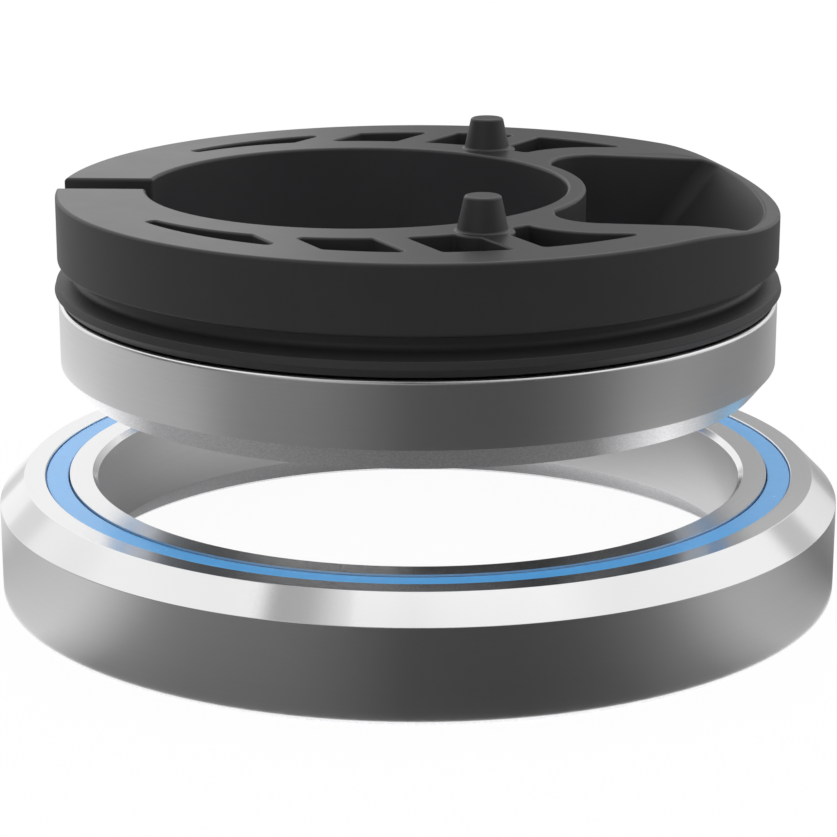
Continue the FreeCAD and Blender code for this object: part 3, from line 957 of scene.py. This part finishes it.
moulded_ring_skin().piece("compression_ring_moulded", "steerer_side", "compression_ring",
                          "ring_plastic", make_ring_plastic())

# Wiper seal: a ring of soft black rubber stretched round the hub of the compression ring.
# Its thin lip stands out over the upper bearing and keeps water out of the head tube.
WIPER_BOTTOM = 20.52
WIPER_CORNERS = [(HUB_RADIUS, WIPER_BOTTOM), (24.29, WIPER_BOTTOM), (24.74, 21.07, 0.06),
                 (24.6, 21.57, 0.06), (23.3, 22.02, 0.45), (23.3, FLANGE_BOTTOM),
                 (HUB_RADIUS, FLANGE_BOTTOM)]
WIPER_COLOUR = (0.014, 0.014, 0.015, 1.0)
WIPER_PALE = (0.02, 0.02, 0.021, 1.0)
WIPER_ROUGHNESS = (0.42, 0.55)
WIPER_GRAINS = 3500.0

wiper_rubber = grained("wiper_rubber", WIPER_GRAINS, (WIPER_COLOUR, WIPER_PALE),
                       WIPER_ROUGHNESS, MOULD_GRAIN_DEPTH)
turned_skin(WIPER_CORNERS).piece("wiper_seal_moulded", "steerer_side", "wiper_seal",
                                 "wiper_rubber", wiper_rubber)

# Studio floor: one wide pale sheet that the set stands on. It keeps a soft shadow, and it
# shows as pale in the metal as it does to the camera, except where the glowing cards below
# lie over it and paint darker reflections in its place.
FLOOR_SIZE = 12.0
FLOOR_COLOUR = (0.95, 0.95, 0.95, 1.0)
FLOOR_GLOW_SHARE = 0.95


def bare_material(name):
    """Material with an empty node tree."""
    material = bpy.data.materials.new(name)
    material.use_nodes = True
    material.node_tree.nodes.clear()
    return material, material.node_tree


def show_mix(tree, share, first, second):
    """Shows the second shader by a share from 0 to 1, and the first by the rest."""
    mix = add_node(tree, "ShaderNodeMixShader")
    for socket, value in zip(mix.inputs, (share, first.outputs[0], second.outputs[0])):
        feed(tree, socket, value)
    add_node(tree, "ShaderNodeOutputMaterial", Surface=mix.outputs[0])


bpy.ops.mesh.primitive_plane_add(size=FLOOR_SIZE)
floor = bpy.context.object
floor.name = "floor"
floor_sheet, tree = bare_material("floor")
path = add_node(tree, "ShaderNodeLightPath").outputs
seen = figure(tree, "MAXIMUM", path["Is Camera Ray"],
              figure(tree, "MAXIMUM", path["Is Glossy Ray"], path["Is Transmission Ray"]))
show_mix(tree, figure(tree, "MULTIPLY", seen, FLOOR_GLOW_SHARE),
         add_node(tree, "ShaderNodeBsdfDiffuse", Color=FLOOR_COLOUR),
         add_node(tree, "ShaderNodeEmission", Color=(1.0, 1.0, 1.0, 1.0), Strength=1.0))
floor.data.materials.append(floor_sheet)

# Studio light: an even pale room, and a soft lamp low on each side that fills the shade
# between the two bearings. Together they light the object at a plain level.
LAMP_TURN = 80
LAMP_RISE = 25
LAMP_DISTANCE = 0.8
LAMP_SIZE = 0.5
LAMP_BRIGHTNESS = 0.9

world = bpy.data.worlds.new("room")
bpy.context.scene.world = world
world.use_nodes = True
set_node(world.node_tree, world.node_tree.nodes["Background"], Color=(1.0, 1.0, 1.0, 1.0),
         Strength=1.0)


def around(distance, turn, rise):
    """Place at a distance from the set's foot. Turn 0 is in front, and 90 to the right."""
    turn = math.radians(turn)
    rise = math.radians(rise)
    return (distance * math.cos(rise) * math.sin(turn),
            -distance * math.cos(rise) * math.cos(turn), distance * math.sin(rise))


for name, turn in (("lamp_left", -LAMP_TURN), ("lamp_right", LAMP_TURN)):
    lamp = bpy.data.lights.new(name, "AREA")
    lamp.size = LAMP_SIZE
    lamp.energy = LAMP_BRIGHTNESS * math.pi * LAMP_SIZE ** 2
    stand = put(name, lamp)
    stand.location = around(LAMP_DISTANCE, turn, LAMP_RISE)
    stand.rotation_euler = stand.location.to_track_quat("Z", "Y").to_euler()
    stand.visible_glossy = False

# Reflection cards: glowing cards on the floor, inside the set and all round it, that paint
# the steel's reflections: its dark front and soft bands, painted shade under and between the
# bearings, a painted highlight and a painted blue reflection. They show only in reflections,
# and cast neither light nor shade.
# Brightnesses run round from the back by the left, and places are in metres.
# Floor brightness as painted in the steel, near and far; the dark values in front are painted
# shade.
NEAR_FLOOR = (0.95, 0.97, 1.0, 1.0, 0.95, 0.8, 0.45, 0.6, 0.69, 0.21, 0.14, 0.085,
              0.03, 0.04, 0.065, 0.14, 0.44, 0.38, 0.13, 0.24, 0.5, 0.5, 0.4, 0.7)
FAR_FLOOR = (1.08, 0.76, 0.56, 0.54, 0.28, 0.14, 0.03, 0.07, 0.14, 0.22, 0.15, 0.48)
FAR_START = (0.14, 0.22)
# Brightness of the glowing dome round the set, low, high and on top: painted reflections.
LOW_CARDS = (0.22, 1.05, 0.93, 0.02, 0.02, 0.56, 0.34, 0.02, 0.02, 0.83, 0.98, 0.84)
HIGH_CARDS = (1.6, 1.05, 0.95, 0.05, 0.91, 1.05)
HIGH_START = (0.2, 0.4)
TOP_CARD = 1.38
TOP_START = (0.61, 0.83)
# Painted shade on the floor inside and under the lower bearing, as its reflections show it.
HOLE_PAINTED_SHADE = (0.42, 0.19, 0.13, 0.09, 0.05, 0.27, 0.52, 0.8)
HOLE_RIM_PAINTED_SHADE = (0.13, 0.26, 0.3, 0.2, 0.1, 0.1, 0.35, 0.5)
HOLE_EDGE_START = (0.88, 0.92)
# Painted highlight: a bright ring at the lower race's foot, for its rounded bottom edge.
EDGE_CARD = 1.22
# Painted reflection of the upper bearing's underside, light and dark by turn.
UNDER_PAINTED_REFLECTION = (0.9, 0.9, 0.9, 0.9, 0.9, 0.9, 1.2, 1.35, 1.15, 0.38, 0.29, 0.21,
              0.155, 0.16, 0.22, 1.05, 0.3, 0.34, 0.4, 0.4, 0.4, 0.4, 0.4, 0.7)
# Painted shade: a dark sheet under the upper group's bore, seen from the lower bearing.
BELOW_PAINTED_SHADE = 0.02
# Painted blue reflection: a blue-tinted glowing sheet under the upper bearing.
BLUE_PAINTED_REFLECTION = 0.74
BLUE_TINT = (0.36, 0.68, 1.0)
CARD_RADIUS = 1.1
FLOOR_LIFT = 0.0002
EDGE_LIFT = 0.00003
FLOOR_REACH = 1.2
AXIS_GAP = 0.0002
HOLE_WALL = 0.0249
EDGE_START = 0.0284
RACE_FOOT = 0.0292
UPPER_BORE = 0.021
UPPER_WALL = 0.0265
BELOW_HEIGHT = 0.0141
UNDER_HEIGHT = 0.0142
BLUE_HEIGHT = 0.01425
BELOW_FADE = (0.65, 1.0)
BLUE_FADE_IN = (53, 65)
BLUE_FADE_OUT = (66, 72)
ALL_ROUND = spaced(-180.0, 180.0, 120)


def level_at(levels, turn):
    """Brightness at a turn, from levels at even turns."""
    place = (turn + 180.0) / 360.0 * len(levels)
    low = int(place) % len(levels)
    share = place - int(place)
    return levels[low] * (1 - share) + levels[(low + 1) % len(levels)] * share


def shift(value, low, high):
    """0 below the first value, 1 above the second, and even in between."""
    return min(1.0, max(0.0, (value - low) / (high - low)))


def blended(first, second, share):
    return first * (1 - share) + second * share


def graded(first, second, change):
    """Level that goes over from one row of brightnesses to another along the card."""
    return lambda share, turn: blended(level_at(first, turn), level_at(second, turn),
                                       shift(share, *change))


def sky_level(share, turn):
    side = graded(LOW_CARDS, HIGH_CARDS, HIGH_START)(share, turn)
    return blended(side, TOP_CARD, shift(share, *TOP_START))


def add_card(name, rows, place, level, cover=lambda share, turn: 1.0, tint=(1.0, 1.0, 1.0),
             turns=ALL_ROUND):
    """Card seen from one side. place, cover and level, which may be one number, take a share
    from 0 to 1 up its rows and a value from turns. cover is 0 where the card is clear."""
    mesh = bpy.data.meshes.new(name)
    spots = [(share, turn) for share in spaced(0.0, 1.0, rows - 1) for turn in turns]
    row = len(turns)
    faces = [(first, first + 1, first + row + 1, first + row)
             for first in range(row * (rows - 1)) if (first + 1) % row]
    mesh.from_pydata([place(*spot) for spot in spots], [], faces)
    glow = mesh.color_attributes.new(name="glow", type="FLOAT_COLOR", domain="POINT")
    for i, spot in enumerate(spots):
        brightness = level if isinstance(level, float) else level(*spot)
        glow.data[i].color = [brightness * part for part in tint] + [cover(*spot)]
    card = put(name, mesh)
    material, tree = bare_material(name)
    material.cycles.emission_sampling = "NONE"
    shown = add_node(tree, "ShaderNodeVertexColor", layer_name="glow").outputs
    inside = add_node(tree, "ShaderNodeNewGeometry").outputs["Backfacing"]
    show_mix(tree, figure(tree, "MULTIPLY", inside, shown["Alpha"]),
             add_node(tree, "ShaderNodeBsdfTransparent"),
             add_node(tree, "ShaderNodeEmission", Color=shown["Color"]))
    mesh.materials.append(material)
    for kind in ("camera", "diffuse", "transmission", "volume_scatter", "shadow"):
        setattr(card, "visible_" + kind, False)


def flat(inner, outer, height, bend=1, side=1):
    """Places on a flat ring round the axis. bend 2 packs the rows towards the inside, and
    side -1 shows the ring from above."""
    def place(share, turn):
        radius = inner + (outer - inner) * share ** bend
        turn = math.radians(turn)
        return side * radius * math.sin(turn), -radius * math.cos(turn), height
    return place


# Glowing dome all round the set that paints the steel's bands and gleams: painted reflections.
add_card("painted_reflection_sky", 41, lambda share, turn: around(CARD_RADIUS, turn, 90 * share), sky_level)
# Glowing sheet over the floor that stands in for it in reflections, dark in front: painted shade.
add_card("painted_reflection_floor", 33, flat(RACE_FOOT, RACE_FOOT + FLOOR_REACH, FLOOR_LIFT, bend=2),
         graded(NEAR_FLOOR, FAR_FLOOR, FAR_START))
# Dark sheet on the floor inside the lower bearing's bore: painted shade seen in reflections.
add_card("painted_shade_hole", 26, flat(AXIS_GAP, HOLE_WALL, FLOOR_LIFT),
         graded(HOLE_PAINTED_SHADE, HOLE_RIM_PAINTED_SHADE, HOLE_EDGE_START))
# Bright ring at the lower race's foot that paints a highlight on its rounded bottom edge.
add_card("painted_highlight_edge", 3, flat(EDGE_START, RACE_FOOT, EDGE_LIFT), EDGE_CARD)
# Dark sheet under the upper group, seen from above in the lower bearing: painted shade.
add_card("painted_shade_below", 11, flat(AXIS_GAP, UPPER_BORE, BELOW_HEIGHT, side=-1), BELOW_PAINTED_SHADE,
         lambda share, turn: 1.0 - shift(share, *BELOW_FADE))
# Sheet just below the upper bearing's underside that paints its reflection in the lower bearing.
add_card("painted_reflection_under", 5, flat(UPPER_BORE, UPPER_WALL, UNDER_HEIGHT),
         lambda share, turn: level_at(UNDER_PAINTED_REFLECTION, turn))
# Blue-tinted sheet under the upper bearing, on the right only: a painted blue reflection.
add_card("painted_blue_reflection", 5, flat(UPPER_BORE, UPPER_WALL, BLUE_HEIGHT), BLUE_PAINTED_REFLECTION,
         lambda share, turn: shift(turn, *BLUE_FADE_IN) * (1.0 - shift(turn, *BLUE_FADE_OUT)),
         BLUE_TINT)

# Boards: smaller pale glowing boards, most in front of the cards and one inside the set, each
# painting one gleam on the steel: painted highlights. They fade out towards their ends by
# stops of (place, cover), and they show as the cards do.
BOARD_DISTANCE = 1.0
GAP_X = (-0.5, -0.19)
GAP_Y = (-0.72, 0.36)
GAP_HEIGHT = 0.9
GAP_BOARD = 0.42
GAP_COVER = ((0.0, 0.0), (0.22, 1.0), (0.5, 0.95), (1.0, 0.3))
# Painted glint: a thin glowing arc over the lower bearing's front inner edge.
SLIVER_X = (-0.0145, 0.001)
SLIVER_REACH = (0.0175, 0.0205)
SLIVER_RADIUS = 0.0226
SLIVER_HEIGHT = 0.01405
SLIVER_PAINTED_GLINT = 0.9
SLIVER_COVER = ((0.0, 0.0), (0.4, 1.0), (0.75, 1.0), (1.0, 0.0))
ALONG = spaced(0.0, 1.0, 48)


def faded(stops, share):
    """Cover at a share from 0 to 1, soft between the stops."""
    for (low, first), (high, last) in zip(stops, stops[1:]):
        if share <= high:
            part = (share - low) / (high - low)
            return blended(first, last, part * part * (3 - 2 * part))
    return stops[-1][1]


def standing_board(name, turns, rises, tone, across, up=((0.0, 1.0), (1.0, 1.0))):
    """Board that faces the set, with stops across it and up it."""
    add_card(name, 25, lambda share, along: around(BOARD_DISTANCE, blended(*turns, along),
                                                   blended(*rises, share)),
             tone, lambda share, along: faded(across, along) * faded(up, share), turns=ALONG)


def sliver_place(share, along):
    """Place on a thin arc over the lower bearing's front inner edge, for a board that paints a
    glint on it.
    """
    x = blended(*SLIVER_X, along)
    return x, blended(*SLIVER_REACH, share) - math.sqrt(SLIVER_RADIUS ** 2 - x ** 2), SLIVER_HEIGHT


add_card("board_gap", 2, lambda share, along: (blended(*GAP_X, along), blended(*GAP_Y, share),
                                               GAP_HEIGHT),
         GAP_BOARD, lambda share, along: faded(GAP_COVER, along), turns=ALONG)
# Thin glowing arc inside the set that paints a glint on the lower bearing's inner edge.
add_card("painted_glint_sliver", 2, sliver_place, SLIVER_PAINTED_GLINT,
         lambda share, along: faded(SLIVER_COVER, along), turns=ALONG)
standing_board("board_streak", (-143, -127), (10, 34), 0.8,
               ((0.0, 0.0), (0.4, 1.0), (0.7, 1.0), (1.0, 0.0)))
standing_board("board_side", (-178, -150), (4, 42), 1.02,
               ((0.0, 0.0), (0.2, 1.0), (1.0, 1.0)), ((0.0, 1.0), (0.7, 1.0), (1.0, 0.0)))
standing_board("board_patch", (124, 138), (12, 40), 0.58,
               ((0.0, 0.0), (0.3, 1.0), (0.7, 1.0), (1.0, 0.0)))

# Camera: low in front, at the photograph's angle and distance, with a long lens. It looks
# slightly down on the set.
camera = put("camera", bpy.data.cameras.new("camera"))
camera.location = (0.00605, -0.17923, 0.06215)
camera.rotation_euler = (math.radians(74.103), 0.0, math.radians(1.923))
camera.data.lens = 115.09
camera.data.sensor_width = 36.0
camera.data.clip_start = 0.01
bpy.context.scene.camera = camera
bpy.context.scene.view_settings.view_transform = "Standard"
